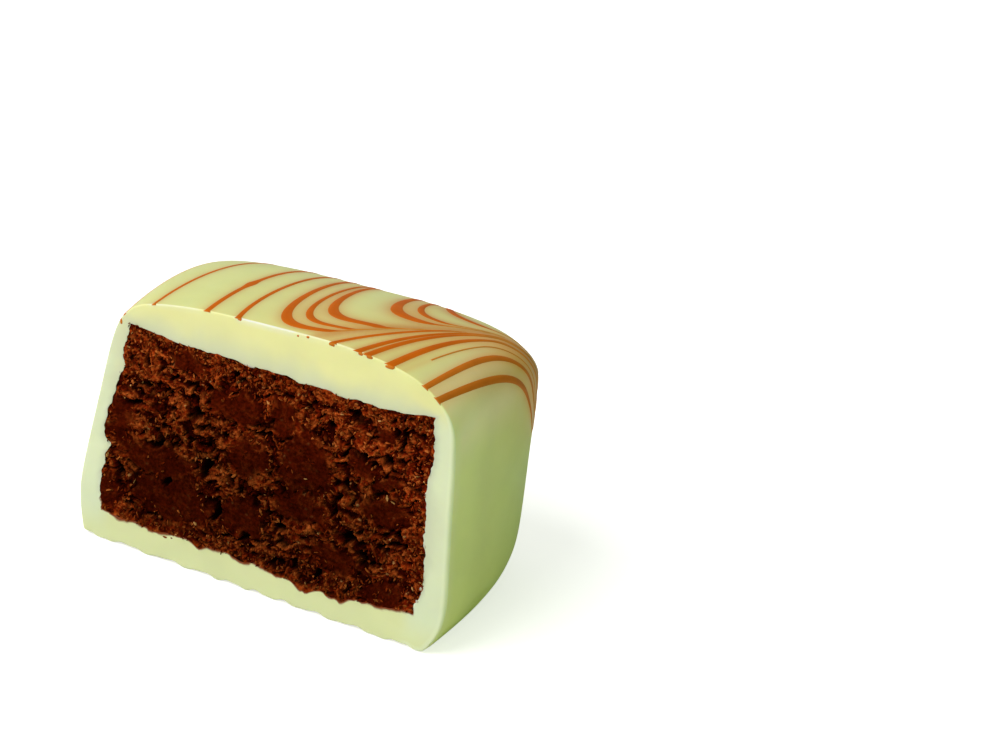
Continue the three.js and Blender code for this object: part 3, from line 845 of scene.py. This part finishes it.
def streak_sections(tree, line_end, width, length, rise):
    """A line that bends down the back wall from the end of a drawn line and ends in a round drop."""
    start = line_end[-1].mean(axis=0)
    before = line_end[-3].mean(axis=0)
    drift = (start[0] - before[0]) / max(before[2] - start[2], LEAST_FALL)
    shares = 1 - (1 - steps(STREAK_STEPS)[1:]) ** STREAK_CROWDING
    down = shares * length
    left = np.maximum(length - down, 0)
    drop = np.sqrt(np.maximum(STREAK_DROP**2 - (left - STREAK_DROP) ** 2, 0))
    thread = width / 2 * lerp(1, STREAK_THINNING, shares) * np.minimum(left / STREAK_DROP, 1)
    half = np.maximum(np.maximum(thread, drop), THINNEST)
    middles = start[0] + STREAK_BEND * drift * np.tanh(down / STREAK_BEND)
    sections = []
    for middle, fall, reach in zip(middles, down, half):
        ring = []
        for aside, height in SECTION:
            origin = Vector((middle + aside * reach, 2 * DEPTH, start[2] - fall))
            hit, normal, _, _ = tree.ray_cast(origin, Vector((0, -1, 0)))
            outward = normal if normal.y > 0 else -normal
            ring.append(np.array(hit + outward * (height * rise)))
        sections.append(ring)
    return np.array(sections)


def flat_blob(x, z, half_x, half_z, seed):
    """A small flat blob on the cut, as rings."""
    turns = np.linspace(0, 2 * np.pi, BLOB_SIDES, endpoint=False)
    circle = np.stack([np.cos(turns), np.sin(turns)])
    rough = noise(*(circle * BLOB_NOISE_SIZE + BLOB_NOISE_PLACE), seed)
    ragged = 1 + BLOB_RAGGEDNESS * (rough - 0.5)
    rings = []
    for share, y in BLOB_RINGS:
        ring_x = x + half_x * share * ragged * circle[0]
        ring_z = z + half_z * share * ragged * circle[1]
        rings.append(np.stack([ring_x, np.full_like(turns, y), ring_z], -1))
    return np.array(rings)


def add_blobs(strip, spots, seed, thickness=0.0):
    """Flat blobs on the cut, one for each spot."""
    for index, spot in enumerate(spots):
        blob = flat_blob(*spot, seed + index)
        strip.add(blob, np.full(blob.shape[:2], thickness))


def make_drizzle(material, tree):
    """The feathered lines, thin and almost flush, the streaks that run down behind and dots at the cut."""
    strip = Strip()
    for index, line in enumerate(behind_lines):
        back_width, length = LINES_BEHIND_STROKE[index][3:5]
        rise = LINE_RISE * (1 + LINE_RISE_STEP * index)
        sections, thickness = behind_sections(line, back_width, index == DROP["line"], rise)
        streak = streak_sections(tree, sections, back_width, length, rise)
        streak_thickness = np.broadcast_to(SECTION_THICKNESS, streak.shape[:2])
        strip.add(np.concatenate([sections, streak]), np.concatenate([thickness, streak_thickness]))
    for index, line in enumerate(before_lines):
        rise = LINE_RISE * (1 + LINE_RISE_STEP * (index + len(behind_lines)))
        strip.add(*before_sections(line, LINES_BEFORE_STROKE[index][-1], rise))
    add_blobs(strip, DOTS, 0, DOT_THICKNESS)
    points = np.concatenate(strip.points)
    return make_object("drizzle", points, strip.faces, material, thickness=np.concatenate(strip.thickness))


def spots_cover(x, z, spots, outer, inner):
    """From 0 outside to 1 inside the nearest of some oval spots."""
    cover = np.zeros_like(x)
    for spot_x, spot_z, half_x, half_z in spots:
        reach = np.hypot((x - spot_x) / half_x, (z - spot_z) / half_z)
        cover = np.maximum(cover, ramp(outer, inner, reach))
    return cover


# The cut crumb
WARP = 1.5
SMEAR_COVER = 0.92
PIT_COVER = 0.75
CREST_SHARPNESS = 9
FINE_CREST_HEIGHT = 0.85
FACE_LEFT = -12
FACE_WIDTH = 25
FACE_FOOT = 2.3
FACE_HEIGHT = 15
LOOSE_DEPTH = 0.48
PORE_DEPTH = 0.95
FLAT_DEPTH = 0.08
WAVE_DEPTH = 0.2
GROOVE_DEPTH = 0.04
EDGE_SHARE = 0.1
OVERLAP_RECESS = 0.13
LEAST_DEPTH = 0.01
SIDE_X = 12.9
CREST_HIGHLIGHT_TINT = 0.75
SPECK_TONE = 0.955
PORE_SHADE_TINT = 1.15
SIDE_LIGHT = 0.45
LIFT_POWERS = np.array([1, 0.85, 0.85])


def crumb_field(x, z):
    """The cut crumb: how far it lies behind the cut, its colour and how smeared it is."""
    warp_x = x + WARP * (texture(layered, "warp_x", x, z, 5) - 0.5)
    warp_z = z + WARP * (texture(layered, "warp_z", x, z, 5) - 0.5)
    smeared = SMEAR_COVER * spots_cover(warp_x, warp_z, SMEARS, 1.35, 0.7)
    lumps = texture(layered, "lumps", warp_x, warp_z, 3)
    flakes = texture(ridged, "flakes", warp_x, warp_z)
    fine = texture(ridged, "fine", x, z)
    pits = ramp(0.36, 0.28, texture(layered, "pits", warp_x, warp_z, 2)) * (1 - smeared)
    pore = np.maximum(spots_cover(warp_x, warp_z, PORES, 1.15, 0.55), PIT_COVER * pits)
    wide_crests = texture(ridged, "crests", warp_x, warp_z) ** CREST_SHARPNESS
    fine_crests = texture(ridged, "fine_crests", warp_x, warp_z) ** CREST_SHARPNESS
    crests = np.maximum(wide_crests, FINE_CREST_HEIGHT * fine_crests)
    height = 0.4 * ramp(0.25, 0.75, lumps) + 0.3 * flakes + 0.18 * fine + 0.12 * crests
    across = (x - FACE_LEFT) / FACE_WIDTH
    up = (z - FACE_FOOT) / FACE_HEIGHT
    above_foot = z - (spline(FILLING_BOTTOM, across) - tongue_drop(x))
    below_top = spline(FILLING_TOP, across) - z
    inside = np.minimum(above_foot, below_top)
    inside = np.minimum(inside, np.minimum(x - spline(FILLING_LEFT, up), spline(FILLING_RIGHT, up) - x))
    loose = LOOSE_DEPTH * (1 - height)
    waves = FLAT_DEPTH + WAVE_DEPTH * texture(layered, "waves", x, z)
    flat = waves + GROOVE_DEPTH * texture(noise, "grooves", x, z)
    depth = lerp(loose, flat, smeared) + PORE_DEPTH * pore
    depth = depth * lerp(EDGE_SHARE, 1, ramp(0, 1.2, inside))
    depth = np.maximum(depth, OVERLAP_RECESS * ramp(0, -0.25, inside))
    near_top = ramp(3.2, 0.4, below_top)
    near_side = ramp(2.6, 0.2, SIDE_X - np.abs(x))
    near_foot = ramp(0.9, 0.1, above_foot)
    # Crumb tone by height: darker in low places as painted shade, lighter on high ones, and lighter near
    # the top, sides and foot
    tone_and_shade = ramp(0.3, 0.95, height) + 0.18 * near_top + 0.1 * near_side + 0.4 * near_foot
    crumb = shade(CRUMB_BROWNS, np.clip(tone_and_shade, 0, 1))
    # Painted highlight on the crests
    crumb = blend(crumb, CREST_HIGHLIGHT, CREST_HIGHLIGHT_TINT * crests * ramp(0.35, 0.6, lumps))
    # Pale specks: partly pale crumbs, partly painted glints
    speck, speck_tone = texture(grains, "specks", x, z)
    glint_specks = (speck_tone > SPECK_TONE) * ramp(0.34, 0.22, speck) * ramp(0.45, 0.7, height)
    crumb = blend(crumb, PALE_CRUMB_AND_GLINT, glint_specks)
    smear_tone = 0.55 * texture(layered, "smear_tone", x, z) + 0.3 * height + 0.25 * near_top
    smear = shade(SMEAR_BROWNS, smear_tone)
    # Smears over the crumb, then painted light towards the top and sides
    colour = blend(crumb, smear, smeared) * painted_crumb_light(x, z)
    # The pores are darkened with painted shade
    return depth, blend(colour, PORE_SHADE, np.clip(pore * PORE_SHADE_TINT, 0, 1)), smeared


def painted_crumb_light(x, z):
    """Painted light on the crumb: lighter towards the top and along both sides, more so in red than in the
    rest.
    """
    high = lerp(0.95, 1.55, ramp(9, 14.5, z))
    beside = ramp(9, 12, np.abs(x)) * ramp(17, 10, z)
    return ((high * (1 + SIDE_LIGHT * beside))[..., None]) ** LIFT_POWERS


GOLDEN = (1 + math.sqrt(5)) / 2
GRAIN_CORNERS = np.array([
    (-1, GOLDEN, 0), (1, GOLDEN, 0), (-1, -GOLDEN, 0), (1, -GOLDEN, 0), (0, -1, GOLDEN), (0, 1, GOLDEN),
    (0, -1, -GOLDEN), (0, 1, -GOLDEN), (GOLDEN, 0, -1), (GOLDEN, 0, 1), (-GOLDEN, 0, -1), (-GOLDEN, 0, 1),
]) / math.hypot(1, GOLDEN)
GRAIN_FACES = np.array([
    (0, 11, 5), (0, 5, 1), (0, 1, 7), (0, 7, 10), (0, 10, 11), (1, 5, 9), (5, 11, 4), (11, 10, 2),
    (10, 7, 6), (7, 1, 8), (3, 9, 4), (3, 4, 2), (3, 2, 6), (3, 6, 8), (3, 8, 9), (4, 9, 5),
    (2, 4, 11), (6, 2, 10), (8, 6, 7), (9, 8, 1),
])
GRAIN_TRIES = 4
GRAIN_SPAN = (0.004, 0.996)
GRAIN_INNER_SHARE = 0.35
GRAIN_STRETCH = ((1, 0.3, 0.5), (2.2, 0.6, 1.0))
GRAIN_SINK = 0.4
GRAIN_FRONT = -0.02


def scattered_grains(places, sizes):
    """Small rough grains, each turned at random: their points and faces."""
    count = len(places)
    turns = unit(rng.normal(size=(count, 1, 4)))
    spin, axis = turns[..., :1], turns[..., 1:]
    rough = rng.uniform(0.5, 1.3, (count, len(GRAIN_CORNERS), 1))
    corners = GRAIN_CORNERS * rough * sizes[:, None]
    sideways = 2 * np.cross(axis, corners)
    points = corners + spin * sideways + np.cross(axis, sideways) + places[:, None]
    offsets = np.arange(count) * len(GRAIN_CORNERS)
    faces = GRAIN_FACES[None] + offsets[:, None, None]
    return points.reshape(-1, 3), faces.reshape(-1, 3).tolist()


def make_crumbs(material):
    """Loose grains on the crumbly parts of the cut, and the crumbs stuck to the coat round it."""
    across = rng.uniform(*GRAIN_SPAN, GRAIN_TRIES * GRAIN_COUNT)
    up = rng.uniform(*GRAIN_SPAN, GRAIN_TRIES * GRAIN_COUNT)
    flat = filling_points(across, up, 0)
    depth, _, smeared = crumb_field(flat[:, 0], flat[:, 2])
    near_edge = np.minimum(np.minimum(across, 1 - across) * 2, np.minimum(up, 1 - up))
    crumbly = (1 - smeared) * ramp(0.8, 0.5, depth)
    wanted = crumbly * lerp(GRAIN_INNER_SHARE, 1, ramp(0.2, 0.02, near_edge))
    kept = np.flatnonzero(rng.uniform(size=len(wanted)) < wanted)[:GRAIN_COUNT]
    places = flat[kept]
    size = rng.uniform(0.05, 0.14, len(kept))
    places[:, 1] = np.maximum(depth[kept] - GRAIN_SINK * size, GRAIN_FRONT)
    points, faces = scattered_grains(places, size[:, None] * rng.uniform(*GRAIN_STRETCH, (len(kept), 3)))
    colours = shade(GRAIN_BROWNS, rng.uniform(0, 1, len(kept)))
    # A few pale grains: partly pale crumbs, partly painted glints
    colours[:PALE_GRAIN_COUNT] = PALE_CRUMB_AND_GLINT
    # The grains get the crumb's painted light too
    colours *= painted_crumb_light(places[:, 0], places[:, 2])
    colours = np.repeat(colours, len(GRAIN_CORNERS), axis=0)
    strip = Strip()
    add_blobs(strip, STUCK_CRUMBS, STUCK_SEED)
    stuck = np.concatenate(strip.points)
    stuck_tones = lerp(0.5, 1, texture(layered, "stuck", stuck[:, 0], stuck[:, 2]))
    faces += [tuple(len(points) + i for i in face) for face in strip.faces]
    points = np.concatenate([points, stuck])
    colours = np.concatenate([colours, shade(GRAIN_BROWNS, stuck_tones)])
    smeared = np.zeros(len(points))
    return make_object("crumbs", points, faces, material, False, shade=colours, smeared=smeared)


def make_chips(material):
    """White chips of the coat that the knife left on the crumb's edges."""
    strip = Strip()
    add_blobs(strip, CHIPS, CHIP_SEED)
    points = np.concatenate(strip.points)
    return make_object("chips", points, strip.faces, material, shade=np.tile(CHIP_WHITE, (len(points), 1)))


def make_filling(material):
    """The crumb block: a fine cut face, and plain sides that reach just into the coat."""
    across, up = np.meshgrid(steps(CRUMB_COLUMNS), steps(CRUMB_ROWS))
    flat = filling_points(across.ravel(), up.ravel(), 0, FILLING_OVERLAP)
    depth, colour, smeared = crumb_field(flat[:, 0], flat[:, 2])
    flat[:, 1] = np.maximum(depth, LEAST_DEPTH)
    index = np.arange(across.size).reshape(across.shape)
    corners = [index[:-1, :-1], index[:-1, 1:], index[1:, 1:], index[1:, :-1]]
    faces = np.stack(corners, -1).reshape(-1, 4).tolist()
    edge = np.concatenate([index[0, :-1], index[:-1, -1], index[-1, :0:-1], index[:0:-1, 0]])
    edge_across, edge_up = across.ravel()[edge], up.ravel()[edge]
    points = [flat]
    ring = edge
    total = across.size
    for y in FILLING_RINGS:
        points.append(filling_points(edge_across, edge_up, y, FILLING_OVERLAP))
        deeper = np.arange(total, total + len(edge))
        faces += np.stack([np.roll(ring, -1), ring, deeper, np.roll(deeper, -1)], -1).tolist()
        ring = deeper
        total += len(edge)
    points.append(points[-1].mean(axis=0, keepdims=True))
    faces += pole_faces(total, total - len(edge), len(edge), False)
    plain = np.tile(SMEAR_BROWNS[0], (total + 1 - across.size, 1))
    colours = np.concatenate([colour, plain])
    smoothness = np.concatenate([smeared, np.ones(len(plain))])
    points = np.concatenate(points)
    return make_object("filling_crumb", points, faces, material, shade=colours, smeared=smoothness)


class Nodes:
    """The nodes of a material or a world. Each input is given a socket to follow or a plain value."""

    def __init__(self, owner):
        owner.use_nodes = True
        self.owner = owner
        self.tree = owner.node_tree

    def fill(self, node, inputs):
        for key, value in inputs.items():
            if isinstance(value, bpy.types.NodeSocket):
                self.tree.links.new(value, node.inputs[key])
            else:
                node.inputs[key].default_value = value

    def add(self, kind, inputs, output, **settings):
        node = self.tree.nodes.new("ShaderNode" + kind)
        for key, value in settings.items():
            setattr(node, key, value)
        self.fill(node, inputs)
        return node.outputs[output]

    def noise(self, scale, detail=3.0):
        """Noise over the object's own place, scale in features for each metre."""
        place = self.add("TexCoord", {}, "Object")
        return self.add("TexNoise", {"Vector": place, "Scale": scale, "Detail": detail}, "Fac")

    def span(self, value, low, high):
        """Noise stretched to run from low to high."""
        inputs = {"Value": value, "From Min": 0.3, "From Max": 0.7, "To Min": low, "To Max": high}
        return self.add("MapRange", inputs, "Result")

    def bump(self, height, distance, strength):
        inputs = {"Height": height, "Distance": distance, "Strength": strength}
        return self.add("Bump", inputs, "Normal")

    def mix(self, kind, share, under, over):
        inputs = {0: share, 6: under, 7: over}
        return self.add("Mix", inputs, 2, data_type="RGBA", blend_type=kind)

    def attribute(self, name, output):
        return self.add("Attribute", {}, output, attribute_name=name)

    def mottled(self, colour, noise, low, high):
        """A colour times a grey that runs from low to high with noise."""
        grey = self.tree.nodes.new("ShaderNodeValToRGB")
        for element, level, place in zip(grey.color_ramp.elements, (low, high), (0.3, 0.7)):
            element.color = (level, level, level, 1)
            element.position = place
        self.fill(grey, {"Fac": noise})
        return self.mix("MULTIPLY", 1.0, colour, grey.outputs["Color"])

    def surface(self, inputs):
        self.fill(self.tree.nodes["Principled BSDF"], inputs)
        return self.owner


def coat_material():
    made = Nodes(bpy.data.materials.new("white_chocolate"))
    return made.surface({
        "Base Color": made.mottled(made.attribute("shade", "Color"), made.noise(220), 0.93, 1.0),
        "Roughness": made.span(made.noise(400), 0.36, 0.5),
        "Specular IOR Level": 0.25,
        "Subsurface Weight": 0.25,
        "Subsurface Radius": (1.0, 0.8, 0.35),
        "Subsurface Scale": 0.001,
        "Normal": made.bump(made.noise(700), 0.00006, 0.35),
    })


def drizzle_material():
    made = Nodes(bpy.data.materials.new("milk_chocolate"))
    colour = made.mix("MIX", made.attribute("thickness", "Fac"), DRIZZLE_THIN, DRIZZLE_THICK)
    return made.surface({
        "Base Color": made.mottled(colour, made.noise(500), 0.85, 1.0),
        "Roughness": 0.5,
        "Specular IOR Level": 0.03,
    })


def crumb_material():
    made = Nodes(bpy.data.materials.new("dark_crumb"))
    return made.surface({
        "Base Color": made.mottled(made.attribute("shade", "Color"), made.noise(4500, 5.0), 0.45, 1.4),
        "Roughness": made.span(made.attribute("smeared", "Fac"), 0.85, 0.6),
        "Specular IOR Level": 0.0,
        "Normal": made.bump(made.noise(5500, 5.0), 0.00012, 0.7),
    })


coat = coat_material()
coating, coating_tree = make_coating(coat)
drizzle = make_drizzle(drizzle_material(), coating_tree)
crumb = crumb_material()
filling = make_filling(crumb)
crumbs = make_crumbs(crumb)
chips = make_chips(coat)

for piece, node, slot in (
    (coating, "coating", "white_chocolate"),
    (drizzle, "coating", "white_chocolate"),
    (chips, "coating", "white_chocolate"),
    (filling, "filling", "dark_crumb"),
    (crumbs, "filling", "dark_crumb"),
):
    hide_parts(node)
    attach(piece, "root")


# Camera at the photograph's viewing angle, in degrees, millimetres and pixels of a 1000 by 749 frame
FRAME_WIDTH, FRAME_HEIGHT = 1000, 749
AZIMUTH, ELEVATION, ROLL = (math.radians(angle) for angle in (23.005, 25.465, -7.748))
DISTANCE = 269.913
FOCAL_PIXELS = 3789.779
ORIGIN_PIXEL = (249.37, 591.971)
SENSOR_WIDTH = 36.0
FLOOR_REACH = 3.0
FLOOR_GREY = (0.75, 0.75, 0.75, 1)
FLOOR_GLOW = 0.65
WHITE = (1, 1, 1, 1)
LEFT_SKY = (0.47, 0.47, 0.47, 1)
RIGHT_SKY = (0.02, 0.03, 0.01, 1)


def make_camera():
    level = Vector((math.cos(AZIMUTH), math.sin(AZIMUTH), 0))
    away = Vector((math.sin(AZIMUTH), -math.cos(AZIMUTH), 0))
    back = away * math.cos(ELEVATION) + Vector((0, 0, math.sin(ELEVATION)))
    upright = back.cross(level)
    right = math.cos(ROLL) * level - math.sin(ROLL) * upright
    up = math.sin(ROLL) * level + math.cos(ROLL) * upright
    aside = (ORIGIN_PIXEL[0] - FRAME_WIDTH / 2) / FOCAL_PIXELS * DISTANCE
    above = (FRAME_HEIGHT / 2 - ORIGIN_PIXEL[1]) / FOCAL_PIXELS * DISTANCE
    place = (back * DISTANCE - right * aside - up * above) * MM + Vector(CUT_PLACE)
    data = bpy.data.cameras.new("camera")
    data.sensor_width = SENSOR_WIDTH
    data.lens = FOCAL_PIXELS * SENSOR_WIDTH / FRAME_WIDTH
    data.clip_start = 0.01
    data.clip_end = 20
    camera = add_object("camera", data)
    turn = Matrix((right, up, back)).transposed().to_4x4()
    camera.matrix_world = Matrix.Translation(place) @ turn
    bpy.context.scene.camera = camera


def make_light(name, place, size, watts, colour=(1, 1, 1)):
    data = bpy.data.lights.new(name, "AREA")
    data.shape = "DISK"
    data.size = size
    data.energy = watts
    data.color = colour
    light = add_object(name, data)
    light.location = place
    light.rotation_euler = (Vector((0, 0, 0.01)) - light.location).to_track_quat("-Z", "Y").to_euler()


def make_world():
    """Soft light, white from the left and tinted by sweets beyond the right side, with a white backdrop."""
    world = bpy.data.worlds.new("studio")
    made = Nodes(world)
    place = made.add("TexCoord", {}, "Generated")
    x = made.add("SeparateXYZ", {"Vector": place}, "X")
    rightness = made.add("MapRange", {"Value": x, "From Min": -0.2, "From Max": 0.6}, "Result")
    sky = made.mix("MIX", rightness, LEFT_SKY, RIGHT_SKY)
    seen = made.add("LightPath", {}, "Is Camera Ray")
    made.fill(made.tree.nodes["Background"], {"Color": made.mix("MIX", seen, sky, WHITE)})
    bpy.context.scene.world = world


def make_floor():
    mesh = bpy.data.meshes.new("floor")
    sides = ((-1, -1), (1, -1), (1, 1), (-1, 1))
    mesh.from_pydata([(x * FLOOR_REACH, y * FLOOR_REACH, 0) for x, y in sides], [], [(0, 1, 2, 3)])
    made = Nodes(bpy.data.materials.new("floor"))
    seen = made.add("LightPath", {}, "Is Camera Ray")
    glow = made.add("MapRange", {"Value": seen, "To Max": FLOOR_GLOW}, "Result")
    looks = {"Base Color": FLOOR_GREY, "Roughness": 0.9, "Emission Color": WHITE, "Emission Strength": glow}
    mesh.materials.append(made.surface(looks))
    floor = add_object("floor", mesh)


make_camera()
make_light("key", (-0.22, -0.34, 0.50), 0.45, 3.1)
make_light("fill", (0.35, -0.05, 0.15), 0.3, 0.25, (0.6, 1, 0.12))
make_world()
make_floor()
bpy.context.scene.view_settings.view_transform = "Standard"
